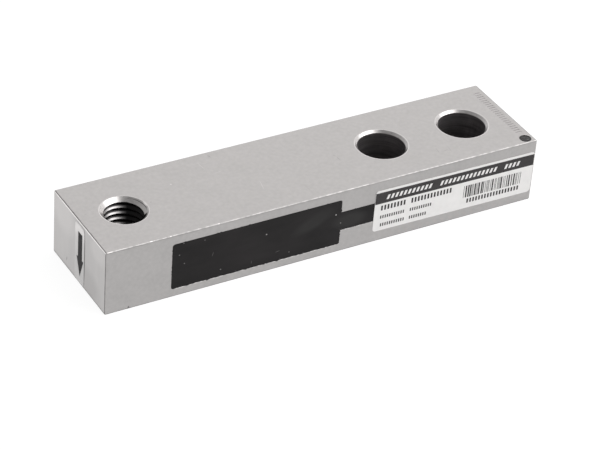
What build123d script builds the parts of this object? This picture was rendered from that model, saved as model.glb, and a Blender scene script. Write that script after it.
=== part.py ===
from build123d import *
import os

# Single-ended shear beam load cell: a straight steel bar that is bolted down through two plain
# holes at one end and loaded through a threaded hole at the other. Strain gauges sit on a thin
# web between two milled windows, which are filled and sealed.
# X runs from the load end to the fixed end, Z is up, and the side with the label looks to -Y.
# The origin is the middle of the bar's underside. Every size is in millimetres.

# Bar
load_end_margin = 12.45
load_to_bolt = 76.2
bolt_pitch = 25.4
fixed_end_margin = 14.45
bar_width = 30.8
bar_height = 19.05
edge_break = 0.35

# Load hole, drawn at the minor diameter of its 12 mm coarse thread, and the two bolt holes
load_hole_radius = 5.2
load_sink = 1.27
bolt_hole_radius = 6.5
bolt_sink = 0.9

# Window in each side, its flat shelf for the board, and the deeper cavity down to the web
window_from_load_hole = 6.25
window_length = 49.2
window_height = 13.75
window_drop = 0.15
window_depth = 2.6
window_corner = 0.8
shelf_length = 7.6
shelf_ledge = 1.45
cavity_corner = 4.0
web_thickness = 6.0

# Wire trench from the front window to the cable inlet, and the inlet's bush
trench_width = 5.6
trench_drop = -0.075
trench_depth = 4.0
trench_overrun = 2.0
inlet_radius = 3.0
inlet_setback = 4.2
inlet_depth = 18.0
bush_length = 8.0
cable_radius = 2.4
bush_lead_in = 0.3

# Filling hole in the top, by the corner over the bush
fill_hole_radius = 1.65
fill_hole_from_end = 2.53
fill_hole_from_side = 2.15

# Hole through the web for the rear wires, with its sleeve
cross_hole_radius = 1.3
cross_hole_gap = 1.6
cross_hole_rise = 3.4
sleeve_wall = 0.4
sleeve_proud = 0.5

# Strain gauges: a film with two foil grids at 45 degrees, and a solder strip beside it
film_length = 13.0
film_height = 7.6
film_corner = 0.6
film_thickness = 0.15
foil_thickness = 0.06
grid_legs = 8
grid_leg_length = 3.6
grid_leg_width = 0.2
grid_leg_pitch = 0.4
grid_offset = 2.5
grid_angle = 45
tab_length = 0.9
tab_height = 0.8
tab_pitch = 2.4
strip_gap = 1.4
strip_length = 2.2
strip_margin = 0.8

# Board on the shelf of the front window, with its chip resistors
board_gap = 0.4
board_thickness = 0.8
chip_length = 3.0
chip_width = 1.6
chip_height = 0.55
chip_pitch = 2.9
pad_inset = 1.1

# Wires
lead_width = 0.22
lead_spread = 0.4
lead_bow = 0.9
lead_solder_gap = 0.05
core_radius = 0.35
core_pitch = 1.1
core_bundle = 0.55
core_slope = 10.0
core_slope_lead = 3.0
core_end_gap = 0.6

# Filling
potting_sink = 0.1

# Rating label on the front face, and the load arrow label on the load end
label_length = 50.0
label_height = 12.8
label_corner = 0.9
label_thickness = 0.12
label_from_end = 0.42
label_drop = 0.085
label_tilt = -0.66
arrow_label_width = 5.45
arrow_label_height = 17.6
arrow_label_corner = 1.1
arrow_label_thickness = 0.08
arrow_label_shift = 0.4
arrow_label_drop = 0.2

# Places that follow from the sizes above
bar_length = load_end_margin + load_to_bolt + bolt_pitch + fixed_end_margin
load_end_x = -bar_length / 2
fixed_end_x = bar_length / 2
load_hole_x = load_end_x + load_end_margin
bolt_hole_xs = [load_hole_x + load_to_bolt, load_hole_x + load_to_bolt + bolt_pitch]
window_x = load_hole_x + window_from_load_hole + window_length / 2
window_z = bar_height / 2 - window_drop
trench_z = bar_height / 2 - trench_drop
trench_rise = trench_z - window_z
trench_start = window_length / 2 - window_corner
trench_end = fixed_end_x - inlet_depth + trench_overrun - window_x
cavity_length = window_length - 2 * shelf_length
cavity_height = window_height - 2 * shelf_ledge
cavity_depth = (bar_width - web_thickness) / 2
fill_hole_x = fixed_end_x - fill_hole_from_end
fill_hole_y = -bar_width / 2 + fill_hole_from_side

# Places along the web, measured from the middle of the window
strip_x = film_length / 2 + strip_gap + strip_length / 2
strip_thickness = film_thickness + foil_thickness
cross_hole_x = strip_x + strip_length / 2 + cross_hole_gap + cross_hole_radius
board_length = shelf_length - 2 * board_gap
board_height = window_height - 2 * board_gap
board_x = window_length / 2 - shelf_length / 2
board_rise = cavity_depth - window_depth + board_thickness
board_left_pad = board_x - board_length / 2 + pad_inset
board_right_pad = board_x + board_length / 2 - pad_inset
tab_rows = [-tab_pitch, 0, tab_pitch]
tab_x = film_length / 2 - tab_length
lead_height = strip_thickness + lead_width / 2
lead_on_board = board_rise + lead_solder_gap + lead_width / 2

# Planes: the two side faces, the two faces of the web, the cable inlet and the load end
front_face = Plane(origin=(window_x, -bar_width / 2, window_z), x_dir=(1, 0, 0), z_dir=(0, -1, 0))
rear_face = Plane(origin=(window_x, bar_width / 2, window_z), x_dir=(1, 0, 0), z_dir=(0, 1, 0))
front_web = front_face.offset(-cavity_depth)
rear_web = rear_face.offset(-cavity_depth)
inlet_face = Plane(
    origin=(fixed_end_x, -bar_width / 2 + inlet_setback, trench_z), x_dir=(0, 1, 0), z_dir=(1, 0, 0)
)
load_end_face = Plane(
    origin=(load_end_x, -arrow_label_shift, bar_height / 2 - arrow_label_drop),
    x_dir=(0, -1, 0),
    z_dir=(-1, 0, 0),
)
sides = {"front": front_web, "rear": rear_web}
cross_hole_spots = {"front": (cross_hole_x, cross_hole_rise), "rear": (cross_hole_x, -cross_hole_rise)}

os.makedirs("parts", exist_ok=True)

# Steel bar, milled and drilled from one piece
with BuildPart() as beam:
    with BuildSketch(Plane.XY):
        Rectangle(bar_length, bar_width)
    extrude(amount=bar_height)
    chamfer(beam.edges(), edge_break)
    with BuildSketch(Plane.XY):
        with Locations((load_hole_x, 0)):
            Circle(load_hole_radius)
    extrude(amount=bar_height, mode=Mode.SUBTRACT)
    chamfer(beam.edges(Select.LAST).filter_by(GeomType.CIRCLE), load_sink)
    with BuildSketch(Plane.XY):
        with Locations(*[(x, 0) for x in bolt_hole_xs]):
            Circle(bolt_hole_radius)
    extrude(amount=bar_height, mode=Mode.SUBTRACT)
    chamfer(beam.edges(Select.LAST).filter_by(GeomType.CIRCLE), bolt_sink)
    for face in (front_face, rear_face):
        with BuildSketch(face):
            RectangleRounded(window_length, window_height, window_corner)
        extrude(amount=-window_depth, mode=Mode.SUBTRACT)
        with BuildSketch(face):
            RectangleRounded(cavity_length, cavity_height, cavity_corner)
        extrude(amount=-cavity_depth, mode=Mode.SUBTRACT)
    with BuildSketch(front_face) as trench_outline:
        with Locations(((trench_start + trench_end) / 2, trench_rise)):
            Rectangle(trench_end - trench_start, trench_width)
        with Locations((trench_end, trench_rise)):
            Circle(trench_width / 2)
    extrude(amount=-trench_depth, mode=Mode.SUBTRACT)
    with BuildSketch(inlet_face):
        Circle(inlet_radius)
    extrude(amount=-inlet_depth, mode=Mode.SUBTRACT)
    with BuildSketch(Plane.XY.offset(trench_z)):
        with Locations((fill_hole_x, fill_hole_y)):
            Circle(fill_hole_radius)
    extrude(amount=bar_height - trench_z, mode=Mode.SUBTRACT)
    with BuildSketch(front_web):
        with Locations(cross_hole_spots["front"]):
            Circle(cross_hole_radius)
    extrude(amount=-web_thickness, mode=Mode.SUBTRACT)
beam.part.label = "beam"
export_step(beam.part, "parts/beam.step")

embedded = {"front": [], "rear": []}

for side, web in sides.items():
    # Polyimide film bonded to the web
    with BuildPart() as gauge_film:
        with BuildSketch(web):
            RectangleRounded(film_length, film_height, film_corner)
        extrude(amount=film_thickness)
    gauge_film.part.label = side + "_gauge_film"
    export_step(gauge_film.part, "parts/" + side + "_gauge_film.step")
    embedded[side].append(gauge_film.part)

    # Foil grids: legs side by side, joined in turn at their two ends, one grid each way
    for name, direction in (("left", 1), ("right", -1)):
        with BuildPart() as foil_grid:
            centre = web.from_local_coords(Vector(-direction * grid_offset, 0, film_thickness))
            leg_way = web.x_dir.rotate(Axis((0, 0, 0), web.z_dir), direction * grid_angle)
            with BuildSketch(Plane(origin=centre, x_dir=leg_way, z_dir=web.z_dir)):
                with GridLocations(0, grid_leg_pitch, 1, grid_legs):
                    Rectangle(grid_leg_length, grid_leg_width)
                for turn in range(grid_legs - 1):
                    reach = grid_leg_length / 2 - grid_leg_width / 2
                    row = (turn - grid_legs / 2 + 1) * grid_leg_pitch
                    with Locations((reach * (-1) ** turn, row)):
                        Rectangle(grid_leg_width, grid_leg_pitch)
            extrude(amount=foil_thickness)
        foil_grid.part.label = side + "_foil_grid_" + name
        export_step(foil_grid.part, "parts/" + side + "_foil_grid_" + name + ".step")
        embedded[side].append(foil_grid.part)

    # Three solder tabs at the end of the film
    with BuildPart() as gauge_tabs:
        with BuildSketch(web.offset(film_thickness)):
            with Locations(*[(tab_x, row) for row in tab_rows]):
                Rectangle(tab_length, tab_height)
        extrude(amount=foil_thickness)
    gauge_tabs.part.label = side + "_gauge_tabs"
    export_step(gauge_tabs.part, "parts/" + side + "_gauge_tabs.step")

    # Strip of three solder pads beside the film
    with BuildPart() as solder_strip:
        with BuildSketch(web):
            with Locations((strip_x, 0)):
                Rectangle(strip_length, 2 * tab_pitch + 2 * strip_margin)
        extrude(amount=strip_thickness)
    solder_strip.part.label = side + "_solder_strip"
    export_step(solder_strip.part, "parts/" + side + "_solder_strip.step")
    embedded[side] += [gauge_tabs.part, solder_strip.part]

# Sleeve that lines the hole through the web
with BuildPart() as cross_hole_sleeve:
    with BuildSketch(front_web.offset(sleeve_proud)):
        with Locations(cross_hole_spots["front"]):
            Circle(cross_hole_radius)
            Circle(cross_hole_radius - sleeve_wall, mode=Mode.SUBTRACT)
    extrude(amount=-(web_thickness + 2 * sleeve_proud))
cross_hole_sleeve.part.label = "cross_hole_sleeve"
export_step(cross_hole_sleeve.part, "parts/cross_hole_sleeve.step")

# Board that completes and trims the bridge, bonded to the shelf next to the trench
with BuildPart() as bridge_board:
    with BuildSketch(front_face.offset(-window_depth)):
        with Locations((board_x, 0)):
            Rectangle(board_length, board_height)
    extrude(amount=board_thickness)
bridge_board.part.label = "bridge_board"
export_step(bridge_board.part, "parts/bridge_board.step")

# Chip resistors on the board, one above another
chips = {}
chip_rows = {"zero_resistor": 1.5, "span_resistor": 0.5, "shunt_resistor": -0.5, "drift_resistor": -1.5}
for name, row in chip_rows.items():
    with BuildPart() as chip:
        with BuildSketch(front_web.offset(board_rise)):
            with Locations((board_x, row * chip_pitch)):
                Rectangle(chip_length, chip_width)
        extrude(amount=chip_height)
    chip.part.label = name
    export_step(chip.part, "parts/" + name + ".step")
    chips[name] = chip.part

# Fine leads from the front film over the strip and up to the board
with BuildPart() as front_leads:
    for row in tab_rows:
        with BuildLine(front_web) as route:
            Polyline(
                (tab_x, row, lead_height),
                (strip_x + strip_length / 2 + lead_spread, row, lead_height),
                (board_x - board_length / 2 - lead_bow, row, lead_on_board),
                (board_left_pad, row, lead_on_board),
            )
        with BuildSketch(Plane(origin=route.line @ 0, x_dir=(0, 0, 1), z_dir=route.line % 0)):
            Rectangle(lead_width, lead_width)
        sweep(path=route.wire(), transition=Transition.RIGHT)
front_leads.part.label = "front_leads"
export_step(front_leads.part, "parts/front_leads.step")

# Fine leads from the rear film through the sleeve and up to the board
with BuildPart() as rear_leads:
    for row in tab_rows:
        hole_x, hole_row = cross_hole_spots["front"]
        lane = hole_row + row / tab_pitch * lead_spread
        with BuildLine(front_web) as route:
            Polyline(
                (tab_x, row, -web_thickness - lead_height),
                (strip_x + strip_length / 2, row, -web_thickness - lead_height),
                (hole_x, lane, -web_thickness - lead_height - lead_bow),
                (hole_x, lane, lead_on_board),
                (board_left_pad, lane, lead_on_board),
            )
        with BuildSketch(Plane(origin=route.line @ 0, x_dir=(0, 0, 1), z_dir=route.line % 0)):
            Rectangle(lead_width, lead_width)
        sweep(path=route.wire(), transition=Transition.RIGHT)
rear_leads.part.label = "rear_leads"
export_step(rear_leads.part, "parts/rear_leads.step")

# Four insulated wires from the board along the trench, gathered behind the cable inlet
cores = []
core_rows = {"supply_plus_wire": 1.5, "supply_minus_wire": 0.5, "signal_plus_wire": -0.5}
core_rows["signal_minus_wire"] = -1.5
for index, (name, row) in enumerate(core_rows.items()):
    lane = trench_rise + row * core_pitch
    end_lane = trench_rise + core_bundle * (1 if row > 0 else -1)
    end_height = cavity_depth - inlet_setback + core_bundle * (-1) ** index
    slope_start = fixed_end_x - window_x - inlet_depth - core_slope_lead
    core_end = fixed_end_x - window_x - bush_length - core_end_gap
    with BuildPart() as core:
        with BuildLine(front_web) as route:
            Polyline(
                (board_right_pad, lane, board_rise + core_radius),
                (slope_start, lane, board_rise + core_radius),
                (slope_start + core_slope, end_lane, end_height),
                (core_end, end_lane, end_height),
            )
        with BuildSketch(Plane(origin=route.line @ 0, z_dir=route.line % 0)):
            Circle(core_radius)
        sweep(path=route.wire(), transition=Transition.RIGHT)
    core.part.label = name
    export_step(core.part, "parts/" + name + ".step")
    cores.append(core.part)

# Soft sealant over the gauges, filling each cavity up to the shelf
embedded["front"] += [cross_hole_sleeve.part, front_leads.part, rear_leads.part]
embedded["rear"] += [cross_hole_sleeve.part, rear_leads.part]
for side, web in sides.items():
    with BuildPart() as sealant:
        with BuildSketch(web):
            RectangleRounded(cavity_length, cavity_height, cavity_corner)
        extrude(amount=cavity_depth - window_depth)
        for piece in embedded[side]:
            add(piece, mode=Mode.SUBTRACT)
    sealant.part.label = side + "_sealant"
    export_step(sealant.part, "parts/" + side + "_sealant.step")

# Black potting: front window, trench and the space behind the bush, poured as one
with BuildPart() as front_potting:
    with BuildSketch(front_face.offset(-potting_sink)):
        RectangleRounded(window_length, window_height, window_corner)
    extrude(amount=-(window_depth - potting_sink))
    with BuildSketch(front_face.offset(-potting_sink)):
        add(trench_outline.sketch_local)
    extrude(amount=-(trench_depth - potting_sink))
    with BuildSketch(inlet_face.offset(-bush_length)):
        Circle(inlet_radius)
    extrude(amount=-(inlet_depth - bush_length))
    for piece in [bridge_board.part, front_leads.part, rear_leads.part, *chips.values(), *cores]:
        add(piece, mode=Mode.SUBTRACT)
front_potting.part.label = "front_potting"
export_step(front_potting.part, "parts/front_potting.step")

# Black potting in the rear window
with BuildPart() as rear_potting:
    with BuildSketch(rear_face.offset(-potting_sink)):
        RectangleRounded(window_length, window_height, window_corner)
    extrude(amount=-(window_depth - potting_sink))
rear_potting.part.label = "rear_potting"
export_step(rear_potting.part, "parts/rear_potting.step")

# Rubber bush that the cable passes through
with BuildPart() as cable_bush:
    with BuildSketch(inlet_face):
        Circle(inlet_radius)
        Circle(cable_radius, mode=Mode.SUBTRACT)
    extrude(amount=-bush_length)
    mouth = cable_bush.faces().sort_by(Axis.X)[-1].edges().sort_by(SortBy.RADIUS)[0]
    chamfer(mouth, bush_lead_in)
cable_bush.part.label = "cable_bush"
export_step(cable_bush.part, "parts/cable_bush.step")

# Potting in the filling hole, down to the bush
with BuildPart() as fill_plug:
    with BuildSketch(Plane.XY.offset(bar_height - potting_sink)):
        with Locations((fill_hole_x, fill_hole_y)):
            Circle(fill_hole_radius)
    extrude(amount=-(bar_height - potting_sink - trench_z))
    with BuildSketch(inlet_face):
        Circle(inlet_radius)
    extrude(amount=-bush_length, mode=Mode.SUBTRACT)
fill_plug.part.label = "fill_plug"
export_step(fill_plug.part, "parts/fill_plug.step")

# Rating label, a printed film stuck on the front face over the trench
label_x = fixed_end_x - label_from_end - label_length / 2
label_place = Plane(
    origin=(label_x, -bar_width / 2, bar_height / 2 - label_drop), x_dir=(1, 0, 0), z_dir=(0, -1, 0)
)
with BuildPart() as rating_label:
    with BuildSketch(label_place):
        RectangleRounded(label_length, label_height, label_corner, rotation=label_tilt)
    extrude(amount=label_thickness)
rating_label.part.label = "rating_label"
export_step(rating_label.part, "parts/rating_label.step")

# Load arrow label, a printed film stuck on the load end
with BuildPart() as arrow_label:
    with BuildSketch(load_end_face):
        RectangleRounded(arrow_label_width, arrow_label_height, arrow_label_corner)
    extrude(amount=arrow_label_thickness)
arrow_label.part.label = "arrow_label"
export_step(arrow_label.part, "parts/arrow_label.step")
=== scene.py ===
import math
import random

import bmesh
import bpy
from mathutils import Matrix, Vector


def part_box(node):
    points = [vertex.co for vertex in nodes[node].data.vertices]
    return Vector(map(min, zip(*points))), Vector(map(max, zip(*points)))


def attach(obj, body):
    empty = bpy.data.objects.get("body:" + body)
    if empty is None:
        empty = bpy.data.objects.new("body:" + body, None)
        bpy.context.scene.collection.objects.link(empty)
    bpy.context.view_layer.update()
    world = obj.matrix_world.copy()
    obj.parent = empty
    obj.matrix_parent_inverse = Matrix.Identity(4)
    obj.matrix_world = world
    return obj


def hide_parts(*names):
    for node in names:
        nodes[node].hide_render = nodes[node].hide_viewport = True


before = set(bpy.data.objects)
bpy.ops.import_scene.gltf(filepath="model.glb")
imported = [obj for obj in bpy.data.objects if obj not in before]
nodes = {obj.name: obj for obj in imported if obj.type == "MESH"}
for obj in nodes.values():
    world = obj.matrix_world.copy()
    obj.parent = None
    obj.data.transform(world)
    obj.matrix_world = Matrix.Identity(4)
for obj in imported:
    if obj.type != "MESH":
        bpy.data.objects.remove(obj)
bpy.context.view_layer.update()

mm = 0.001

# Steel bar
# One length of ground alloy steel, milled, drilled and tapped, then plated a dull silver grey.
# Its edges are broken by hand with a file, so the line along each of them wanders a little, and
# handling has left hairline scratches and a few dark spots on its faces.
bar_low, bar_high = (Vector(corner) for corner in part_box("beam"))
bar_middle = (bar_low + bar_high) / 2
bar_half = (bar_high - bar_low) / 2
edge_break = 0.35 * mm
load_hole_x = bar_low.x + 12.45 * mm
load_hole_radius = 5.2 * mm
load_sink = 1.15 * mm
bolt_spacings = (76.2 * mm, 101.6 * mm)
bolt_hole_xs = [load_hole_x + spacing for spacing in bolt_spacings]
bolt_hole_radius = 6.5 * mm
bolt_sink = 0.72 * mm
touching = 0.001 * mm


def block(name, low, high):
    bpy.ops.object.select_all(action="DESELECT")
    bpy.ops.mesh.primitive_cube_add(size=1, location=[(a + b) / 2 for a, b in zip(low, high)])
    part = bpy.context.object
    part.name = name
    part.scale = [b - a for a, b in zip(low, high)]
    bpy.ops.object.transform_apply(location=True, rotation=True, scale=True)
    return part


def pick(kind, wanted):
    bpy.ops.mesh.select_mode(type=kind)
    bpy.ops.mesh.select_all(action="DESELECT")
    mesh = bmesh.from_edit_mesh(bpy.context.object.data)
    for item in {"VERT": mesh.verts, "EDGE": mesh.edges, "FACE": mesh.faces}[kind]:
        if wanted(item):
            item.select_set(True)
    mesh.select_flush_mode()
    bmesh.update_edit_mesh(bpy.context.object.data)


def take_up(parts):
    bpy.ops.object.select_all(action="DESELECT")
    for part in parts:
        part.select_set(True)
    bpy.context.view_layer.objects.active = parts[0]


def runs_along(edge, axis):
    step = edge.verts[1].co - edge.verts[0].co
    return abs(step[axis]) > 0.999 * step.length


bar = block("bar_body", bar_low, bar_high)
bpy.ops.object.mode_set(mode="EDIT")
bpy.ops.mesh.select_all(action="SELECT")
bpy.ops.mesh.bevel(offset=edge_break, segments=2)
shortest_split = 3 * mm
for axis, cuts in ((0, 120), (1, 28), (2, 16)):
    pick("EDGE", lambda edge: runs_along(edge, axis) and edge.calc_length() > shortest_split)
    bpy.ops.mesh.subdivide(number_cuts=cuts)

# The file has pushed each point of the edges in or out a little, in millimetres.
chance = random.Random(3)
file_slip = (-0.045, 0.035)
mesh = bmesh.from_edit_mesh(bar.data)
for vert in mesh.verts:
    place = vert.co - bar_middle
    inset = [bar_half[axis] - abs(place[axis]) for axis in range(3)]
    for edge_axis in range(3):
        on_flat = sum(abs(gap) < touching for axis, gap in enumerate(inset) if axis != edge_axis)
        if on_flat and touching < inset[edge_axis] < edge_break + touching:
            wander = chance.uniform(*file_slip) * mm
            vert.co[edge_axis] += wander if place[edge_axis] > 0 else -wander
bmesh.update_edit_mesh(bar.data)
bpy.ops.object.mode_set(mode="OBJECT")


# Turns an outline of (radius, height) points about an upright axis, or screws it up by a rise.
def lathe(name, profile, x, steps, rise=0.0, turns=1):
    bpy.ops.object.select_all(action="DESELECT")
    bpy.ops.mesh.primitive_plane_add(size=mm)
    part = bpy.context.object
    part.name = name
    bpy.ops.object.mode_set(mode="EDIT")
    bpy.ops.mesh.select_mode(type="VERT")
    bpy.ops.mesh.select_all(action="SELECT")
    bpy.ops.mesh.merge(type="CENTER")
    bpy.ops.transform.translate(value=(profile[0][0], 0, profile[0][1]))
    for (radius, z), (next_radius, next_z) in zip(profile, profile[1:]):
        bpy.ops.mesh.extrude_vertices_move(
            TRANSFORM_OT_translate={"value": (next_radius - radius, 0, next_z - z)}
        )
    bpy.ops.object.mode_set(mode="OBJECT")
    bpy.ops.object.modifier_add(type="SCREW")
    screw = part.modifiers[-1]
    screw.angle = 2 * math.pi
    screw.screw_offset = rise
    screw.iterations = turns
    screw.steps = steps
    screw.render_steps = steps
    bpy.ops.object.modifier_apply(modifier=screw.name)
    part.location.x = x
    bpy.ops.object.transform_apply(location=True, rotation=True, scale=True)
    bpy.ops.object.mode_set(mode="EDIT")
    bpy.ops.mesh.select_all(action="SELECT")
    bpy.ops.mesh.remove_doubles(threshold=0.0005 * mm)
    if rise:
        for low_end in (True, False):
            pick("EDGE", lambda edge: edge.is_boundary
                 and ((edge.verts[0].co.z + edge.verts[1].co.z) / 2 < bar_middle.z) == low_end)
            bpy.ops.mesh.extrude_edges_move(TRANSFORM_OT_translate={"value": (0, 0, 0)})
            bpy.ops.mesh.merge(type="CENTER")
    bpy.ops.mesh.select_all(action="SELECT")
    bpy.ops.mesh.normals_make_consistent(inside=False)
    bpy.ops.object.mode_set(mode="OBJECT")
    return part


def cut(part, tool):
    take_up([part])
    bpy.ops.object.modifier_add(type="BOOLEAN")
    knife = part.modifiers[-1]
    knife.operation = "DIFFERENCE"
    knife.solver = "EXACT"
    knife.object = tool
    bpy.ops.object.modifier_apply(modifier=knife.name)
    bpy.data.objects.remove(tool)


# The outline of a drilled hole with a countersink at both faces, whose rim is worn round.
def drill(radius, sink, rim, lip=0.06 * mm):
    mouth = radius + sink
    above = bar_half.z + 0.12 * mm
    half = [(radius, bar_half.z - sink - lip), (radius + lip, bar_half.z - sink + lip),
            (mouth - lip, bar_half.z - lip), (mouth + rim, bar_half.z),
            (mouth + 3 * rim, above), (0, above)]
    return [(reach, bar_middle.z - rise) for reach, rise in reversed(half)] + [
        (reach, bar_middle.z + rise) for reach, rise in half]


bore_steps = 96
bolt_rim = 0.22 * mm
load_rim = 0.2 * mm
for x in bolt_hole_xs:
    cut(bar, lathe("bolt_hole_cut", drill(bolt_hole_radius, bolt_sink, bolt_rim), x, bore_steps))
cut(bar, lathe("load_hole_cut", drill(load_hole_radius, load_sink, load_rim), load_hole_x, bore_steps))

# Coarse 12 mm thread: crests at the drilled radius, roots 0.8 mm deeper, cut right through.
thread_pitch = 1.75 * mm
root_radius = 6.0 * mm
thread = [
    (root_radius, -2.58 * mm), (root_radius, -2.3 * mm), (load_hole_radius, -1.93 * mm),
    (load_hole_radius, -1.63 * mm), (root_radius, -0.83 * mm),
]
cut(bar, lathe("thread_cut", thread, load_hole_x, steps=80, rise=thread_pitch, turns=14))


# A milled pocket with round corners. It flares where it opens in a face, which breaks the edge.
def pocket(name, low, high, corner, open_side=0, flare=0.12 * mm):
    part = block(name, low, high)
    bpy.ops.object.mode_set(mode="EDIT")
    pick("EDGE", lambda edge: runs_along(edge, 1))
    bpy.ops.mesh.bevel(offset=corner, segments=8)
    if open_side:
        face_y = open_side * bar_half.y
        outer = low[1] if open_side < 0 else high[1]
        bpy.ops.mesh.select_all(action="SELECT")
        bpy.ops.mesh.bisect(plane_co=(0, face_y - open_side * flare, 0), plane_no=(0, 1, 0))
        pick("VERT", lambda vert: abs(vert.co.y - outer) < touching)
        growth = 2 * (flare + abs(outer - face_y))
        middle = [(a + b) / 2 for a, b in zip(low, high)]
        bpy.ops.transform.resize(
            value=(1 + growth / (high[0] - low[0]), 1, 1 + growth / (high[2] - low[2])),
            center_override=middle,
        )
    bpy.ops.object.mode_set(mode="OBJECT")
    return part


window_low, window_high = (Vector(corner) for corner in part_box("rear_potting"))
cavity_low, cavity_high = (Vector(corner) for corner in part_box("rear_sealant"))
window_floor = window_low.y
window_corner = 0.8 * mm
web_half = cavity_low.y
cavity_corner = 4 * mm
over = 1 * mm
for side in (-1, 1):
    ys = sorted((side * window_floor, side * (bar_half.y + over)))
    cut(bar, pocket("window_cut", (window_low.x, ys[0], window_low.z),
                    (window_high.x, ys[1], window_high.z), window_corner, side))
    ys = sorted((side * web_half, side * (window_floor + over)))
    cut(bar, pocket("cavity_cut", (cavity_low.x, ys[0], cavity_low.z),
                    (cavity_high.x, ys[1], cavity_high.z), cavity_corner))

# Trench for the wires, the filling hole, the inlet that both run into and the hole through the web.
bush_low, bush_high = (Vector(corner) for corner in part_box("cable_bush"))
trench_z = (bush_low.z + bush_high.z) / 2
trench_half = 2.8 * mm
trench_corner = 2.79 * mm
trench_depth = 4 * mm
trench_start = window_high.x - 4 * mm
trench_end = bar_high.x - 16 * mm + trench_half
cut(bar, pocket("trench_cut", (trench_start, bar_low.y - over, trench_z - trench_half),
                (trench_end, bar_low.y + trench_depth, trench_z + trench_half), trench_corner, -1))
quarter_turn = math.pi / 2


def round_bar(name, radius, length, middle, turn):
    bpy.ops.object.select_all(action="DESELECT")
    bpy.ops.mesh.primitive_cylinder_add(
        vertices=48, radius=radius, depth=length, location=middle, rotation=turn
    )
    part = bpy.context.object
    part.name = name
    bpy.ops.object.transform_apply(location=True, rotation=True, scale=True)
    return part


plug_low, plug_high = (Vector(corner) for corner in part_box("fill_plug"))
plug_middle = (plug_low + plug_high) / 2
plug_radius = (plug_high.x - plug_low.x) / 2
fill_depth = bar_high.z - trench_z + over
cut(bar, round_bar("filling_cut", plug_radius, fill_depth,
                   (plug_middle.x, plug_middle.y, trench_z + fill_depth / 2), (0, 0, 0)))
inlet_x = bar_high.x - 8 * mm
inlet_y = (bush_low.y + bush_high.y) / 2
inlet_radius = (bush_high.z - bush_low.z) / 2
inlet_length = 20 * mm
cut(bar, round_bar("inlet_cut", inlet_radius, inlet_length,
                   (inlet_x, inlet_y, trench_z), (0, quarter_turn, 0)))
sleeve_low, sleeve_high = (Vector(corner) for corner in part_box("cross_hole_sleeve"))
sleeve_middle = (sleeve_low + sleeve_high) / 2
sleeve_radius = (sleeve_high.z - sleeve_low.z) / 2
cut(bar, round_bar("cross_cut", sleeve_radius, 2 * web_half + over,
                   sleeve_middle, (quarter_turn, 0, 0)))

# A row of short plain strokes is punched along the fixed end, between the far edge and the plug.
stroke_x = bar_high.x - 2.4 * mm
stroke_reach = 0.95 * mm
stroke_half = 0.16 * mm
stroke_depth = 0.08 * mm
stroke_count = 22
first_stroke, stroke_pitch = 11.5, 1.01
strokes = []
for index in range(stroke_count):
    y = (first_stroke - index * stroke_pitch) * mm
    strokes.append(block(
        "stroke", (stroke_x - stroke_reach, y - stroke_half, bar_high.z - stroke_depth),
        (stroke_x + stroke_reach, y + stroke_half, bar_high.z + over)))
take_up(strokes)
bpy.ops.object.join()
cut(bar, strokes[0])

take_up([bar])
bpy.ops.object.mode_set(mode="EDIT")
bpy.ops.mesh.select_all(action="SELECT")
bpy.ops.mesh.remove_doubles(threshold=0.001 * mm)
bpy.ops.object.mode_set(mode="OBJECT")
bpy.ops.object.shade_smooth_by_angle(angle=math.radians(12))


# Feeds a shader node: a socket is wired to its input, and anything else is set there as a constant.
def feed(finish, made, wires):
    for name, value in wires.items():
        if isinstance(value, bpy.types.NodeSocket):
            finish.node_tree.links.new(value, made.inputs[name])
        else:
            made.inputs[name].default_value = value


def node(finish, kind, wires, **choices):
    made = finish.node_tree.nodes.new("ShaderNode" + kind)
    for name, choice in choices.items():
        setattr(made, name, choice)
    feed(finish, made, wires)
    return made


def into_shader(finish, wires):
    feed(finish, finish.node_tree.nodes["Principled BSDF"], wires)


def new_finish(name, colour, roughness, metallic=0.0):
    finish = bpy.data.materials.new(name)
    finish.use_nodes = True
    into_shader(finish, {
        "Base Color": (*colour, 1), "Roughness": roughness, "Metallic": metallic,
        "Specular IOR Level": 0.5 if metallic else 0.3})
    return finish


def here(finish):
    return node(finish, "TexCoord", {}).outputs["Object"]


def speckle(finish, scale, detail=2.0, stretch=(1, 1, 1)):
    turned = node(finish, "Mapping", {"Vector": here(finish), "Scale": stretch}).outputs[0]
    return node(finish, "TexNoise", {"Vector": turned, "Scale": scale, "Detail": detail}).outputs[0]


def spread(finish, value, low, high, start=0.3, end=0.7, **choices):
    return node(finish, "MapRange", {
        "Value": value, "From Min": start, "From Max": end, "To Min": low, "To Max": high},
        **choices).outputs[0]


def blend(finish, value, *colours):
    ends = [end if isinstance(end, bpy.types.NodeSocket) else (*end, 1) for end in colours]
    mix = node(finish, "Mix", {0: value, 6: ends[0], 7: ends[1]}, data_type="RGBA")
    return mix.outputs[2]


def bump(finish, height, depth):
    return node(finish, "Bump", {"Height": height, "Distance": depth, "Strength": 1.0}).outputs[0]


plated_steel = new_finish("plated_steel", (0.4, 0.3895, 0.386), 0.4, 1.0)
clouds = speckle(plated_steel, 150, 5)
flecks = speckle(plated_steel, 900, 4)
grain = speckle(plated_steel, 3800, 2)
tone = node(plated_steel, "Math", {0: clouds, 1: flecks}, operation="ADD").outputs[0]
colour = blend(plated_steel, spread(plated_steel, tone, 0, 1, 0.7, 1.3),
               (0.382, 0.372, 0.368), (0.434, 0.422, 0.418))

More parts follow.
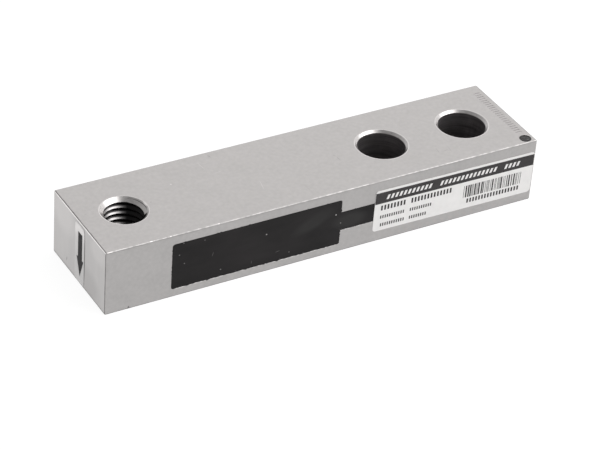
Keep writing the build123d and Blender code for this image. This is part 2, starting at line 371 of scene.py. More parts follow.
# Hairline scratches and spots of handling: middle, half length, half width, turn and greyness.
top, front, load_end = 19.05, -15.4, -64.25
handling = [
    ((-14.3, -4.2, top), 2.6, 0.07, -102, 0.60), ((-4.0, -10.6, top), 2.5, 0.06, -87, 0.30),
    ((-24.7, 10.2, top), 2.3, 0.06, -84, 0.58), ((-21.9, 5.7, top), 1.5, 0.06, 8, 0.58),
    ((9.9, 0.4, top), 0.8, 0.09, -58, 0.26), ((10.3, -1.4, top), 1.3, 0.09, -86, 0.26),
    ((-20.6, 13.3, top), 0.8, 0.25, -76, 0.30), ((-44.0, 0.4, top), 0.2, 0.16, 0, 0.10),
    ((-35.7, 5.6, top), 0.3, 0.22, -70, 0.66), ((-61.6, 2.1, top), 0.5, 0.12, 20, 0.32),
    ((36.6, -8.8, top), 1.7, 0.1, 80, 0.30), ((38.4, -9.6, top), 1.4, 0.1, 10, 0.30),
    ((40.0, -9.4, top), 1.7, 0.1, 82, 0.32), ((-57.6, front, 0.5), 0.28, 0.3, 0, 0.08),
]


# Lays a soft-edged grey patch on a colour. Its middle and half sizes are in millimetres.
def scuff(finish, colour, middle, turn, half_sizes, grey):
    spot = node(finish, "Mapping", {
        "Vector": here(finish), "Location": [value * mm for value in middle],
        "Rotation": [math.radians(angle) for angle in turn],
        "Scale": [value * mm for value in half_sizes]}, vector_type="TEXTURE").outputs[0]
    reach = node(finish, "VectorMath", {0: spot}, operation="LENGTH").outputs["Value"]
    return blend(finish, spread(finish, reach, 0.75, 0, 0.5, 1.0), colour,
                 (grey, grey * 0.97, grey * 0.96))


for middle, half_length, half_width, turn, grey in handling:
    colour = scuff(plated_steel, colour, middle, (0, 0, turn), (half_length, half_width, 0.6), grey)
into_shader(plated_steel, {
    "Base Color": colour,
    "Roughness": spread(plated_steel, clouds, 0.36, 0.43),
    "Normal": bump(plated_steel, grain, 0.004 * mm),
})
bar.data.materials.append(plated_steel)

# Bores are left as drilled, with faint tool rings. Their colour, also used on the floors of the
# punched strokes, is darker than the plated faces: painted shade for the shade inside them.
bore_painted_shade = new_finish("bore_painted_shade", (0.2, 0.19, 0.194), 0.4, 1.0)
tool_rings = speckle(bore_painted_shade, 900, 3, (0.15, 0.15, 3))
into_shader(bore_painted_shade, {
    "Base Color": blend(bore_painted_shade, spread(bore_painted_shade, tool_rings, 0, 1),
                        (0.3, 0.286, 0.291), (0.45, 0.429, 0.437)),
    "Roughness": spread(bore_painted_shade, tool_rings, 0.36, 0.52),
    "Normal": bump(bore_painted_shade, tool_rings, 0.006 * mm),
})
bar.data.materials.append(bore_painted_shade)

# The countersinks are turned smooth and shine more, with one painted highlight, a bright spot on the
# load hole's.
turned_steel = new_finish("turned_steel", (0.5, 0.487, 0.482), 0.2, 1.0)
chatter = speckle(turned_steel, 900, 3, (1, 1, 3))
colour = blend(turned_steel, spread(turned_steel, chatter, 0, 1),
               (0.49, 0.477, 0.472), (0.575, 0.56, 0.554))
# Painted highlight: a bright streak high on the load hole's countersink.
colour = scuff(turned_steel, colour, (-45.6, 0.5, 18.75), (0, 0, 4), (0.26, 1.5, 0.6), 1.0)
into_shader(turned_steel, {
    "Base Color": colour,
    "Roughness": spread(turned_steel, chatter, 0.27, 0.34),
    "Normal": bump(turned_steel, chatter, 0.002 * mm),
})
bar.data.materials.append(turned_steel)

# The thread keeps a plain steel colour only at its crests. Its roots and all down one side of it
# are darkened as painted shade.
tapped_steel = new_finish("tapped_steel", (0.2, 0.194, 0.193), 0.28, 1.0)
oil = speckle(tapped_steel, 600, 3)
# Painted shade: the thread darkens towards one side.
thread_shade_side = (0.87, -0.49, 0)
across = node(tapped_steel, "VectorMath", {0: here(tapped_steel), 1: thread_shade_side},
              operation="DOT_PRODUCT").outputs["Value"]
side_painted_shade = spread(tapped_steel, across, 0, 1,
                thread_shade_side[0] * load_hole_x - 1.3 * mm, thread_shade_side[0] * load_hole_x + 0.5 * mm)
# Painted shade in the thread's roots.
off_axis = node(tapped_steel, "Mapping", {
    "Vector": here(tapped_steel), "Location": (-load_hole_x, 0, 0), "Scale": (1, 1, 0)}).outputs[0]
reach = node(tapped_steel, "VectorMath", {0: off_axis}, operation="LENGTH").outputs["Value"]
root_painted_shade = spread(tapped_steel, reach, 0, 1,
                 load_hole_radius + 0.24 * mm, load_hole_radius + 0.44 * mm)
thread_painted_shade = node(tapped_steel, "Math", {0: side_painted_shade, 1: root_painted_shade}, operation="MAXIMUM").outputs[0]
unshaded_thread = blend(tapped_steel, spread(tapped_steel, oil, 0, 1),
              (0.24, 0.233, 0.232), (0.32, 0.31, 0.309))
into_shader(tapped_steel, {
    "Base Color": blend(tapped_steel, thread_painted_shade, unshaded_thread, (0.02, 0.0192, 0.0194)),
    "Roughness": spread(tapped_steel, oil, 0.2, 0.34),
    "Normal": bump(tapped_steel, oil, 0.01 * mm),
})
bar.data.materials.append(tapped_steel)

# The top edges that face the light carry a painted highlight: the flat side of the front top edge
# and the steep side of the end top edges. The lower edges, the upright corners and the rest of the
# end edges carry painted shade.
edge_highlight = new_finish("edge_highlight", (0.7, 0.686, 0.68), 0.35, 1.0)
highlight_dashes = speckle(edge_highlight, 900, 3)
colour = blend(edge_highlight, spread(edge_highlight, highlight_dashes, 0, 1, 0.36, 0.64),
               (0.42, 0.41, 0.406), (0.66, 0.648, 0.643))
# Painted highlights: brighter patches along the front top edge and a bright band along the load end's
# top edge.
for x, half_length in ((-51.7, 0.5), (-32.6, 0.4), (-46.2, 0.3), (-63.0, 0.9)):
    colour = scuff(edge_highlight, colour, (x, -15.3, 19.0), (0, 0, 0), (half_length, 0.6, 0.6), 0.98)
colour = scuff(edge_highlight, colour, (-64.1, 0, 18.9), (0, 0, 0), (0.6, 26, 0.6), 1.0)
into_shader(edge_highlight, {
    "Base Color": colour,
    "Roughness": spread(edge_highlight, highlight_dashes, 0.3, 0.42),
})
bar.data.materials.append(edge_highlight)
edge_shade = new_finish("edge_shade", (0.16, 0.154, 0.153), 0.5, 1.0)
edge_shade_mottle = speckle(edge_shade, 700, 3)
colour = blend(edge_shade, spread(edge_shade, edge_shade_mottle, 0, 1), (0.16, 0.154, 0.152), (0.3, 0.291, 0.288))
# A darker spot low on the front edge, and painted shade along the load end's bottom edge.
colour = scuff(edge_shade, colour, (-57.7, -15.3, 0.1), (0, 0, 0), (0.4, 0.6, 0.6), 0.02)
colour = scuff(edge_shade, colour, (-64.2, 0, 0.1), (0, 0, 0), (1.0, 30, 1.0), 0.02)
into_shader(edge_shade, {
    "Base Color": colour,
    "Roughness": spread(edge_shade, edge_shade_mottle, 0.4, 0.6),
})
bar.data.materials.append(edge_shade)

# The two ends are milled across, which leaves them a little lighter, with faint upright streaks.
# The load end has paler patches high up as painted light, a greyer patch low down and a dark band along
# its bottom as painted shade, dirt in a nick, and a dark line down one side of the arrow label.
milled_end = new_finish("milled_end", (0.48, 0.467, 0.463), 0.4, 1.0)
streaks = speckle(milled_end, 260, 4, (1, 1, 0.15))
colour = blend(milled_end, spread(milled_end, streaks, 0, 1),
               (0.45, 0.438, 0.434), (0.52, 0.507, 0.502))
label_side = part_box("arrow_label")[0][1] / mm
# Rows: two paler patches high up (painted light), a greyer patch low down (painted shade), dirt in a
# nick, a dark band along the bottom (painted shade) and a dark line beside the arrow label.
for y, z, turn, half_sizes, grey in (
        (9.5, 15.5, 0, (0.5, 8.0, 6.5), 0.56), (-11.0, 16.5, 0, (0.5, 5.5, 4.0), 0.53),
        (-5.5, 3.5, 0, (0.5, 8.0, 5.5), 0.39), (7.1, 3.0, -78, (0.3, 0.8, 0.16), 0.05),
        (0, 0.25, 0, (0.5, 30, 0.75), 0.28), (label_side - 0.05, 9.5, 0, (0.3, 0.45, 9.5), 0.05)):
    colour = scuff(milled_end, colour, (load_end, y, z), (turn, 0, 0), half_sizes, grey)
into_shader(milled_end, {
    "Base Color": colour,
    "Roughness": spread(milled_end, streaks, 0.36, 0.44),
    "Normal": bump(milled_end, streaks, 0.004 * mm),
})
bar.data.materials.append(milled_end)


# Each face takes its finish from the cut it lies on. The allowances take in the cuts' worn rims.
def depth_of(face):
    height = face.calc_center_median().z
    return min(height - bar_low.z, bar_high.z - height)


def off_hole(face, x):
    middle = face.calc_center_median()
    return math.hypot(middle.x - x, middle.y)


def in_a_bore(face):
    return depth_of(face) > bolt_sink - 0.07 * mm and any(
        off_hole(face, x) < bolt_hole_radius + 0.05 * mm for x in bolt_hole_xs)


def in_a_stroke(face):
    middle = face.calc_center_median()
    return (abs(bar_high.z - middle.z - stroke_depth) < 0.01 * mm
            and abs(middle.x - stroke_x) < stroke_reach + 0.05 * mm and face.normal.z > 0.9)


def on_a_countersink(face):
    depth = depth_of(face)
    off_load = off_hole(face, load_hole_x)
    half_steep = 0.6 < abs(face.normal.z) < 0.8
    on_a_bolt_sink = not in_a_bore(face) and any(
        off_hole(face, x) < bolt_hole_radius + bolt_sink + 0.2 * mm for x in bolt_hole_xs)
    outside_the_roots = root_radius + 0.05 * mm < off_load < load_hole_radius + load_sink + 0.25 * mm
    on_the_first_turn = (off_load < root_radius and half_steep and face.normal.z > 0
                         and bar_high.z - face.calc_center_median().z < 1.28 * mm)
    on_the_cone = half_steep and abs(
        off_load + depth - load_hole_radius - load_sink) < 0.06 * mm
    return depth > 0.01 * mm and (
        on_a_bolt_sink or outside_the_roots or on_the_first_turn or on_the_cone)


def on_the_thread(face):
    return (off_hole(face, load_hole_x) < load_hole_radius + load_sink - 0.1 * mm
            and depth_of(face) > 0.03 * mm and not on_a_countersink(face))


def edges_met(face):
    place = face.calc_center_median() - bar_middle
    slanting = max(abs(value) for value in face.normal) < 0.97
    return "".join(name for name, half, value in zip("xyz", bar_half, place)
                   if slanting and half - abs(value) < edge_break)


# Edges that take the painted highlight.
def on_a_highlit_edge(face):
    met = edges_met(face)
    on_top = face.normal.z > 0
    steep = abs(face.normal.z) < 0.7
    return on_top and (
        (met == "yz" and not steep and face.normal.y < 0) or (met == "xz" and steep))


# Edges that take the painted shade.
def on_a_shaded_edge(face):
    met = edges_met(face)
    return (met in ("xz", "yz") and face.normal.z < 0) or (
        met == "xz" and face.normal.z > 0.7) or (met == "xy" and abs(face.normal.x) > 0.7)


def on_an_end(face):
    return abs(face.normal.x) > 0.99 and bar_half.x - abs(face.calc_center_median().x) < 0.01 * mm


# Slot 1 is painted shade for bores and stroke floors; slots 4 and 5 are painted highlight and painted
# shade on edges.
bpy.ops.object.mode_set(mode="EDIT")
for index, wanted in ((1, in_a_bore), (1, in_a_stroke), (2, on_a_countersink), (3, on_the_thread),
                      (4, on_a_highlit_edge), (5, on_a_shaded_edge), (6, on_an_end)):
    pick("FACE", wanted)
    bar.active_material_index = index
    bpy.ops.object.material_slot_assign()
bpy.ops.object.mode_set(mode="OBJECT")
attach(bar, "root")
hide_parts("beam")

# Rear potting and front potting
# Black epoxy poured into each window and along the trench, struck off nearly flush and left to
# set. It creeps unevenly up the milled edge, and a few specks of dust have stuck to it.
potting_finish = new_finish("potting_finish", (0.008, 0.0072, 0.0076), 0.6)
smears = speckle(potting_finish, 90, 4, (0.7, 1, 1.6))
pores = speckle(potting_finish, 2600, 2)
cells = node(potting_finish, "TexVoronoi", {"Vector": here(potting_finish), "Scale": 430.0})
dot = spread(potting_finish, cells.outputs["Distance"], 1, 0, 0.045, 0.07)
chosen = node(potting_finish, "SeparateColor", {0: cells.outputs["Color"]}).outputs[0]
rare = node(potting_finish, "Math", {0: chosen, 1: 0.6}, operation="GREATER_THAN").outputs[0]
dust = node(potting_finish, "Math", {0: dot, 1: rare}, operation="MULTIPLY").outputs[0]
black = blend(potting_finish, spread(potting_finish, smears, 0, 1, 0.35, 0.75),
              (0.003, 0.0022, 0.0025), (0.019, 0.017, 0.0177))
colour = blend(potting_finish, dust, black, (0.2, 0.19, 0.19))
# Two paler smears, specks of dust and hairlines: x, z, half length, half width, turn and greyness.
for x, z, half_length, half_width, turn, grey in (
        (-4.5, 11.7, 7.5, 2.6, 22, 0.022), (6.5, 9.4, 6.0, 2.8, 0, 0.026),
        (-18.5, 11.8, 0.22, 0.22, 0, 0.5), (2.1, 12.1, 0.24, 0.24, 0, 0.6),
        (-43.6, 12.6, 0.22, 0.2, 0, 0.2), (-42.1, 9.6, 0.2, 0.2, 0, 0.2),
        (-31.5, 4.6, 0.25, 0.2, 0, 0.25), (-36.5, 15.2, 0.2, 0.2, 0, 0.16),
        (-11.4, 4.2, 0.2, 0.2, 0, 0.2), (3.7, 9.1, 0.2, 0.2, 0, 0.3),
        (-34.0, 10.1, 0.8, 0.1, 75, 0.1), (-14.9, 5.4, 0.8, 0.1, 10, 0.1),
        (-22.5, 4.2, 0.6, 0.1, 85, 0.09)):
    colour = scuff(potting_finish, colour, (x, front, z), (0, -turn, 0),
                   (half_length, 0.5, half_width), grey)
into_shader(potting_finish, {
    "Base Color": colour,
    "Roughness": spread(potting_finish, smears, 0.5, 0.68),
    "Specular IOR Level": 0.2,
    "Normal": bump(potting_finish, pores, 0.01 * mm),
})

skin_depth = 0.2 * mm
skin_proud = 0.012 * mm
under_label = 1.5 * mm


# A skin of resin over a window. The front one also runs out along the trench, which is given by
# its end and its lower and upper edge.
def poured_skin(name, face_y, trench):
    out = math.copysign(1, face_y)
    bpy.ops.object.select_all(action="DESELECT")
    right = trench[0] if trench else window_high.x
    middle = ((window_low.x + right) / 2, face_y, (window_low.z + window_high.z) / 2)
    bpy.ops.mesh.primitive_plane_add(size=1, location=middle, rotation=(-out * quarter_turn, 0, 0))
    part = bpy.context.object
    part.name = name
    part.scale = (right - window_low.x, window_high.z - window_low.z, 1)
    bpy.ops.object.transform_apply(location=True, rotation=True, scale=True)
    bpy.ops.object.mode_set(mode="EDIT")
    if trench:
        for level in trench[1:]:
            bpy.ops.mesh.select_all(action="SELECT")
            bpy.ops.mesh.bisect(plane_co=(0, 0, level), plane_no=(0, 0, 1))
        bpy.ops.mesh.select_all(action="SELECT")
        bpy.ops.mesh.bisect(plane_co=(window_high.x, 0, 0), plane_no=(1, 0, 0))
        pick("FACE", lambda face: face.calc_center_median().x > window_high.x
             and not trench[1] < face.calc_center_median().z < trench[2])
        bpy.ops.mesh.delete(type="FACE")
    for axis in (0, 2):
        for longest, cuts in ((20 * mm, 119), (8 * mm, 27), (3 * mm, 12)):
            pick("EDGE", lambda edge: runs_along(edge, axis) and edge.calc_length() > longest)
            if bpy.context.object.data.total_edge_sel:
                bpy.ops.mesh.subdivide(number_cuts=cuts)

    # The rim follows the window's corners, then creeps out in places. The rest sinks a little.
    mesh = bmesh.from_edit_mesh(part.data)
    corner = 0.35 * mm
    creep_reach, blob_reach, blob_share = (-0.04, 0.1), 0.2, 0.07
    sag, sunk = (-0.012, 0), 0.02
    creep = random.Random(11)
    for vert in mesh.verts:
        x, z = vert.co.x, vert.co.z
        corner_x = max(window_low.x + corner - x, x - (window_high.x - corner), 0)
        corner_z = max(window_low.z + corner - z, z - (window_high.z - corner), 0)
        reach = math.hypot(corner_x, corner_z)
        if x < window_high.x + touching and reach > corner:
            pull = 1 - corner / reach
            vert.co.x -= math.copysign(corner_x * pull, x - (window_low.x + window_high.x) / 2)
            vert.co.z -= math.copysign(corner_z * pull, z - middle[2])
        if vert.is_boundary and x < right - touching:
            away = Vector((0, 0, 0))
            for edge in vert.link_edges:
                if not edge.is_boundary:
                    away -= edge.other_vert(vert).co - vert.co
            if away.length > touching:
                blob = blob_reach if creep.random() < blob_share else 0
                vert.co += away.normalized() * (creep.uniform(*creep_reach) + blob) * mm
        else:
            vert.co.y += out * (creep.uniform(*sag) - sunk) * mm
    bmesh.update_edit_mesh(part.data)
    bpy.ops.mesh.select_all(action="SELECT")
    bpy.ops.mesh.extrude_region_move(TRANSFORM_OT_translate={"value": (0, -out * skin_depth, 0)})
    bpy.ops.mesh.select_all(action="SELECT")
    bpy.ops.mesh.normals_make_consistent(inside=False)
    bpy.ops.object.mode_set(mode="OBJECT")
    bpy.ops.object.shade_smooth_by_angle(angle=math.radians(40))
    part.data.materials.append(potting_finish)
    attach(part, "root")


label_low, label_high = (Vector(corner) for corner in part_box("rating_label"))
poured_skin("front_potting_skin", bar_low.y - skin_proud,
            (label_low.x + under_label, trench_z - trench_half, trench_z + trench_half))
poured_skin("rear_potting_skin", bar_high.y, None)


def dress(name, finish):
    nodes[name].data.materials.clear()
    nodes[name].data.materials.append(finish)


dress("front_potting", potting_finish)
dress("rear_potting", potting_finish)

# Filling hole plug
# The same black epoxy, dripped into the filling hole by the corner. It has set in an uneven,
# slightly glossy dome just under the top face.
plug_finish = new_finish("plug_finish", (0.012, 0.011, 0.0115), 0.35)
lumps = speckle(plug_finish, 1500, 3)
colour = blend(plug_finish, spread(plug_finish, lumps, 0, 1, 0.4, 0.65),
               (0.002, 0.0018, 0.0019), (0.02, 0.0185, 0.019))
# Painted highlight: a paler fleck at the right of the dome.
colour = scuff(plug_finish, colour, (62.1, -13.9, 19.0), (0, 0, 20), (0.28, 0.6, 0.6), 0.09)
into_shader(plug_finish, {
    "Base Color": colour,
    "Roughness": spread(plug_finish, lumps, 0.22, 0.45),
    "Normal": bump(plug_finish, lumps, 0.1 * mm),
})
plug = round_bar("filling_plug", plug_radius, plug_high.z - plug_low.z, plug_middle, (0, 0, 0))
plug_rings = 7
plug_sunk, dome_height, lump_height = 0.03 * mm, 0.12, 0.025
bpy.ops.object.mode_set(mode="EDIT")
pick("FACE", lambda face: face.normal.z > 0.9)
for ring in range(plug_rings):
    bpy.ops.mesh.inset(thickness=plug_radius / (plug_rings + 1), depth=0)
mesh = bmesh.from_edit_mesh(plug.data)
settle = random.Random(5)
for vert in mesh.verts:
    reach = math.hypot(vert.co.x - plug_middle.x, vert.co.y - plug_middle.y) / plug_radius
    if vert.co.z > plug_high.z - touching:
        drop = (dome_height * reach ** 4 + settle.uniform(0, lump_height)) * mm
        vert.co.z = bar_high.z - plug_sunk - drop
bmesh.update_edit_mesh(plug.data)
bpy.ops.object.mode_set(mode="OBJECT")
bpy.ops.object.shade_smooth_by_angle(angle=math.radians(50))
plug.data.materials.append(plug_finish)
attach(plug, "root")
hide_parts("fill_plug")

# Rating label
# White printed film with a black band, stuck by hand over the trench, a little out of level.
# What a real one prints is left out: rows of plain ticks, dashes and bars stand in its place.
label_middle = (label_low + label_high) / 2
label_length = 50 * mm
label_height = 12.8 * mm
label_corner = 0.9 * mm
label_tilt = math.radians(0.66)
print_room = 0.02 * mm
label_face = label_low.y + print_room
label_paper = new_finish("label_paper", (0.76, 0.752, 0.745), 0.42)
fibre = speckle(label_paper, 500, 4)
into_shader(label_paper, {
    "Base Color": blend(label_paper, spread(label_paper, fibre, 0, 1),
                        (0.74, 0.732, 0.725), (0.79, 0.781, 0.775)),
    "Roughness": spread(label_paper, fibre, 0.36, 0.5),
    "Normal": bump(label_paper, fibre, 0.006 * mm),
})


def sticker(name, length, height, corner, face, back):
    bpy.ops.object.select_all(action="DESELECT")
    bpy.ops.mesh.primitive_plane_add(size=1)
    part = bpy.context.object
    part.name = name
    part.scale = (length, height, 1)
    bpy.ops.object.transform_apply(location=True, rotation=True, scale=True)
    bpy.ops.object.mode_set(mode="EDIT")
    bpy.ops.mesh.select_all(action="SELECT")
    bpy.ops.mesh.bevel(offset=corner, segments=6, affect="VERTICES")
    bpy.ops.mesh.select_all(action="SELECT")
    bpy.ops.mesh.extrude_region_move(TRANSFORM_OT_translate={"value": (0, 0, face - back)})
    bpy.ops.mesh.select_all(action="SELECT")
    bpy.ops.mesh.normals_make_consistent(inside=False)
    bpy.ops.object.mode_set(mode="OBJECT")
    return part


def stuck_on_front(part, face_y):
    part.rotation_euler = (quarter_turn, label_tilt, 0)
    part.location = (label_middle.x, face_y, label_middle.z)
    bpy.ops.object.transform_apply(location=True, rotation=True, scale=True)


label = sticker("rating_label_film", label_length, label_height, label_corner, label_face, bar_low.y)
stuck_on_front(label, label_face)
bpy.ops.object.shade_smooth_by_angle(angle=math.radians(30))
label.data.materials.append(label_paper)
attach(label, "root")
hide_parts("rating_label")

label_ink = new_finish("label_ink", (0.025, 0.0225, 0.0235), 0.5)
worn = speckle(label_ink, 900, 4)
into_shader(label_ink, {
    "Base Color": blend(label_ink, spread(label_ink, worn, 0, 1, 0.3, 0.8),
                        (0.02, 0.0178, 0.0185), (0.04, 0.0365, 0.0375)),
    "Roughness": spread(label_ink, worn, 0.38, 0.55),
})


# One flat printed mark. All marks are set out in millimetres from the middle of their label.
def mark(x0, x1, y0, y1, slant=0.0):
    bpy.ops.object.select_all(action="DESELECT")
    bpy.ops.mesh.primitive_plane_add(size=1, location=((x0 + x1) / 2 * mm, (y0 + y1) / 2 * mm, 0))
    part = bpy.context.object
    part.scale = ((x1 - x0) * mm, (y1 - y0) * mm, 1)
    bpy.ops.object.transform_apply(location=True, rotation=True, scale=True)
    if slant:
        bpy.ops.object.mode_set(mode="EDIT")
        pick("VERT", lambda vert: vert.co.y > (y0 + y1) / 2 * mm)
        bpy.ops.transform.translate(value=(slant * mm, 0, 0))
        bpy.ops.object.mode_set(mode="OBJECT")
    return part


def gather(name, marks, finish):
    take_up(marks)
    bpy.ops.object.join()
    part = marks[0]
    part.name = name
    part.data.materials.append(finish)
    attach(part, "root")
    return part


def tick_row(x0, x1, y0, y1, pitch, slant=0.0, inked=0.55):
    count = int((x1 - x0) / pitch + 0.4)
    return [mark(x0 + index * pitch, x0 + (index + inked) * pitch, y0, y1, slant)
            for index in range(count)]


# Black printing: the band, rows of even ticks at the left, and a bar pattern with ticks under it.
black_marks = [mark(-24.95, 24.95, 2.2, 5.7)]
for row in ((-23.0, -15.1, -0.05, 1.5, 1.0), (-13.6, -0.6, -0.05, 1.5, 1.0),
            (-23.0, -15.3, -2.65, -1.65, 0.7), (-13.8, -6.8, -2.65, -1.65, 0.7),
            (-22.8, -15.1, -5.15, -4.15, 0.7), (-13.8, -8.4, -5.15, -4.15, 0.7),
            (4.3, 21.4, -4.8, -3.45, 0.95)):
    black_marks += tick_row(*row)
spacing = random.Random(21)
bar_widths = (0.16, 0.16, 0.3, 0.45)
gap_widths = (0.15, 0.2, 0.3, 0.42)
pattern_start, pattern_end = 3.0, 21.2
x = pattern_start
while x < pattern_end:
    width = spacing.choice(bar_widths)
    black_marks.append(mark(x, x + width, -2.9, 0.88))
    x += width + spacing.choice(gap_widths)
black_ink_height = 0.01 * mm
black_print = gather("rating_label_black_print", black_marks, label_ink)
stuck_on_front(black_print, label_face - black_ink_height)

# White shapes in the band: plain rows of even leaning dashes.
white_marks = []
for x0, x1 in ((-21.6, -7.4), (-5.0, 13.6), (15.4, 21.2)):
    white_marks += tick_row(x0, x1, 3.2, 4.6, pitch=1.3, slant=0.5)
white_ink_height = 0.018 * mm
white_print = gather("rating_label_white_print", white_marks, label_paper)
stuck_on_front(white_print, label_face - white_ink_height)

# Load arrow label
# A small silver film stuck on the load end, printed with a plain black arrow that points down,
# the way that the load acts. Its upper end is painted paler: a painted highlight.
arrow_low, arrow_high = (Vector(corner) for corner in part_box("arrow_label"))
arrow_middle = (arrow_low + arrow_high) / 2
arrow_corner = 1.1 * mm
arrow_face = arrow_low.x + print_room
silver_film = new_finish("silver_film", (0.56, 0.548, 0.545), 0.35, 0.6)
crinkle = speckle(silver_film, 350, 3)
colour = blend(silver_film, spread(silver_film, crinkle, 0, 1),
               (0.49, 0.48, 0.477), (0.56, 0.549, 0.545))
# Painted highlight: two paler patches over the upper end.
for drop, half_height, grey in ((2.2, 3.6, 0.8), (6.0, 4.6, 0.58)):
    colour = scuff(
        silver_film, colour, (arrow_low.x / mm, arrow_middle.y / mm, arrow_high.z / mm - drop),
        (0, 0, 0), (0.5, 4.5, half_height), grey)
into_shader(silver_film, {
    "Base Color": colour,
    "Roughness": spread(silver_film, crinkle, 0.3, 0.42),
    "Normal": bump(silver_film, crinkle, 0.01 * mm),
})


def stuck_on_end(part, face_x):
    part.rotation_euler = (quarter_turn, 0, -quarter_turn)
    part.location = (face_x, arrow_middle.y, arrow_middle.z)
    bpy.ops.object.transform_apply(location=True, rotation=True, scale=True)


arrow_label = sticker("arrow_label_film", arrow_high.y - arrow_low.y, arrow_high.z - arrow_low.z,
                      arrow_corner, arrow_face, bar_low.x)
stuck_on_end(arrow_label, arrow_face)
bpy.ops.object.shade_smooth_by_angle(angle=math.radians(30))
arrow_label.data.materials.append(silver_film)
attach(arrow_label, "root")
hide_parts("arrow_label")

neck, tip = -1.3, -6.8
shaft = mark(-0.85, 1.55, neck, 6.5)
head = mark(-1.62, 2.32, tip, neck)
bpy.ops.object.mode_set(mode="EDIT")
pick("VERT", lambda vert: vert.co.y < (tip + neck) / 2 * mm)
bpy.ops.mesh.merge(type="CENTER")
bpy.ops.object.mode_set(mode="OBJECT")
arrow_ink = new_finish("arrow_ink", (0.016, 0.0142, 0.015), 0.6)
thin_spots = speckle(arrow_ink, 1100, 4)
into_shader(arrow_ink, {
    "Base Color": blend(arrow_ink, spread(arrow_ink, thin_spots, 0, 1, 0.3, 0.8),
                        (0.007, 0.006, 0.0064), (0.021, 0.0188, 0.0196)),
    "Roughness": spread(arrow_ink, thin_spots, 0.5, 0.7),
    "Specular IOR Level": 0.2,
})
arrow_ink_height = 0.012 * mm
arrow = gather("load_arrow_print", [shaft, head], arrow_ink)
stuck_on_end(arrow, arrow_face - arrow_ink_height)

# Cable bush
# A moulded ring of black rubber, pressed into the inlet at the fixed end, where the cable would
# come out. Its skin is dull.
rubber = new_finish("bush_rubber", (0.02, 0.019, 0.0195), 0.75)
dull = speckle(rubber, 1800, 3)
into_shader(rubber, {
    "Base Color": blend(rubber, spread(rubber, dull, 0, 1),
                        (0.015, 0.014, 0.0145), (0.032, 0.03, 0.031)),
    "Roughness": spread(rubber, dull, 0.65, 0.85),
    "Normal": bump(rubber, dull, 0.02 * mm),
})
dress("cable_bush", rubber)

# Inner pieces
# What the resin hides: silicone, gauge films with etched foil, solder pads, leads, the trimming
# board with its chips, the sleeve through the web and four insulated wires.
inner_finishes = {}


def inner_finish(name, dark, light, scale, smooth, rough, metallic=0.0, depth=0.01 * mm):
    finish = new_finish(name, light, rough, metallic)
    noise = speckle(finish, scale, 3)
    into_shader(finish, {
        "Base Color": blend(finish, spread(finish, noise, 0, 1), dark, light),
        "Roughness": spread(finish, noise, smooth, rough),
        "Normal": bump(finish, noise, depth),
    })
    inner_finishes[name] = finish


inner_finish("silicone_fill", (0.55, 0.54, 0.50), (0.70, 0.69, 0.65), 300, 0.35, 0.5)
inner_finish("gauge_film", (0.55, 0.25, 0.04), (0.68, 0.34, 0.06), 700, 0.25, 0.4)
inner_finish("etched_foil", (0.50, 0.42, 0.30), (0.62, 0.54, 0.42), 3000, 0.25, 0.4, 1.0, 0.002 * mm)
inner_finish("solder", (0.50, 0.50, 0.52), (0.72, 0.72, 0.74), 2200, 0.2, 0.35, 1.0, 0.02 * mm)
inner_finish("sleeve_plastic", (0.70, 0.69, 0.66), (0.82, 0.81, 0.78), 900, 0.4, 0.55)
inner_finish("board_laminate", (0.02, 0.12, 0.05), (0.03, 0.17, 0.07), 1500, 0.35, 0.5)
inner_finish("chip_body", (0.012, 0.012, 0.013), (0.03, 0.03, 0.032), 2500, 0.35, 0.5)
inner_finish("enamelled_lead", (0.50, 0.20, 0.07), (0.66, 0.30, 0.12), 2500, 0.25, 0.4, 1.0, 0.003 * mm)
inner_finish("green_insulation", (0.01, 0.17, 0.05), (0.02, 0.24, 0.08), 900, 0.35, 0.5)
inner_finish("black_insulation", (0.01, 0.01, 0.01), (0.025, 0.025, 0.025), 900, 0.35, 0.5)
inner_finish("white_insulation", (0.68, 0.68, 0.66), (0.80, 0.80, 0.78), 900, 0.35, 0.5)
inner_finish("red_insulation", (0.42, 0.012, 0.01), (0.56, 0.02, 0.016), 900, 0.35, 0.5)
pairs = {
    "_sealant": "silicone_fill", "_gauge_film": "gauge_film", "_foil_grid_left": "etched_foil",
    "_foil_grid_right": "etched_foil", "_gauge_tabs": "solder", "_solder_strip": "solder",
    "_leads": "enamelled_lead",
}
dressed = {
    "cross_hole_sleeve": "sleeve_plastic", "bridge_board": "board_laminate",
    "zero_resistor": "chip_body", "span_resistor": "chip_body", "shunt_resistor": "chip_body",
    "drift_resistor": "chip_body", "supply_plus_wire": "green_insulation",
    "supply_minus_wire": "black_insulation", "signal_plus_wire": "white_insulation",
    "signal_minus_wire": "red_insulation",
}
for side in ("front", "rear"):
    for ending, finish_name in pairs.items():
        dressed[side + ending] = finish_name
for name, finish_name in dressed.items():
    dress(name, inner_finishes[finish_name])

# Studio
# A plain white floor that glows a little like a light table, with a dark card under the bar as
# painted shade, which keeps its holes dark. The room is pale and brighter at the back, with a wide
# softbox in front at the right, and a soft lamp shines from the softbox.
floor_drop = 0.0001
card_drop = 0.00005
card_margin = 3 * mm
bpy.ops.object.select_all(action="DESELECT")
bpy.ops.mesh.primitive_plane_add(size=4, location=(0, 0, -floor_drop))
floor = bpy.context.object
floor.name = "studio_floor"
bpy.ops.object.transform_apply(location=True, rotation=True, scale=True)
floor_finish = new_finish("studio_floor_finish", (0.12, 0.12, 0.12), 0.9)
into_shader(floor_finish, {"Emission Color": (1, 1, 1, 1), "Emission Strength": 0.92})
floor.data.materials.append(floor_finish)
# Painted shade: a dark card laid under the bar, where the floor would be in shade.
bpy.ops.object.select_all(action="DESELECT")
bpy.ops.mesh.primitive_plane_add(size=1, location=(0, 0, -card_drop))
card = bpy.context.object
card.name = "studio_shade_card"
card.scale = (2 * bar_half.x - card_margin, 2 * bar_half.y - card_margin, 1)
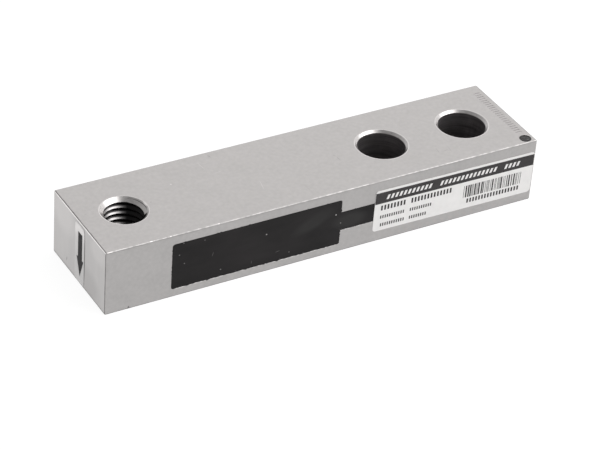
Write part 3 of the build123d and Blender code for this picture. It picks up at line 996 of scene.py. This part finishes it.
bpy.ops.object.transform_apply(location=True, rotation=True, scale=True)
card.data.materials.append(new_finish("studio_shade_card_finish", (0.02, 0.02, 0.02), 0.9))

room = bpy.data.worlds.new("studio_room")
bpy.context.scene.world = room
room.use_nodes = True
gaze = node(room, "TexCoord", {}).outputs["Generated"]
parts = node(room, "SeparateXYZ", {0: gaze}).outputs
back = spread(room, parts[1], 0.42, 1.42, -0.9, 0.7)
left = spread(room, parts[0], 0.4, 1.0, -0.5, 0.4)
toward = node(room, "VectorMath", {0: gaze, 1: (0.62, -0.48, 0.62)},
              operation="DOT_PRODUCT").outputs["Value"]
softbox = spread(room, toward, 0.0, 2.0, 0.72, 0.97, interpolation_type="SMOOTHSTEP")
bulb = spread(room, toward, 0.0, 1.2, 0.9, 0.99, interpolation_type="SMOOTHSTEP")
above = spread(room, parts[2], 0.0, 1.0, 0.25, 0.5, interpolation_type="SMOOTHSTEP")
both = node(room, "Math", {0: softbox, 1: bulb}, operation="ADD").outputs[0]
lit = node(room, "Math", {0: both, 1: above}, operation="MULTIPLY").outputs[0]
level = node(room, "Math", {0: back, 1: left, 2: lit}, operation="MULTIPLY_ADD").outputs[0]
feed(room, room.node_tree.nodes["Background"], {"Color": (1.0, 0.99, 0.985, 1), "Strength": level})

lamp_place = Vector((0.74, -0.57, 0.74))
bpy.ops.object.select_all(action="DESELECT")
bpy.ops.object.light_add(type="AREA", location=lamp_place)
lamp = bpy.context.object
lamp.name = "soft_lamp"
lamp.data.shape = "RECTANGLE"
lamp.data.size = lamp.data.size_y = 0.5
lamp.data.energy = 0.8
lamp.rotation_euler = (-lamp_place).to_track_quat("-Z", "Y").to_euler()

bpy.ops.object.camera_add(location=(-0.289426, -0.46809, 0.381021))
camera = bpy.context.object
camera.name = "camera"
camera.rotation_euler = [math.radians(angle) for angle in (55.2037, -3.66868, -29.25945)]
camera.data.lens = 150.545
camera.data.sensor_width = 36
camera.data.clip_start = 0.01
bpy.context.scene.camera = camera
bpy.context.scene.view_settings.view_transform = "Standard"
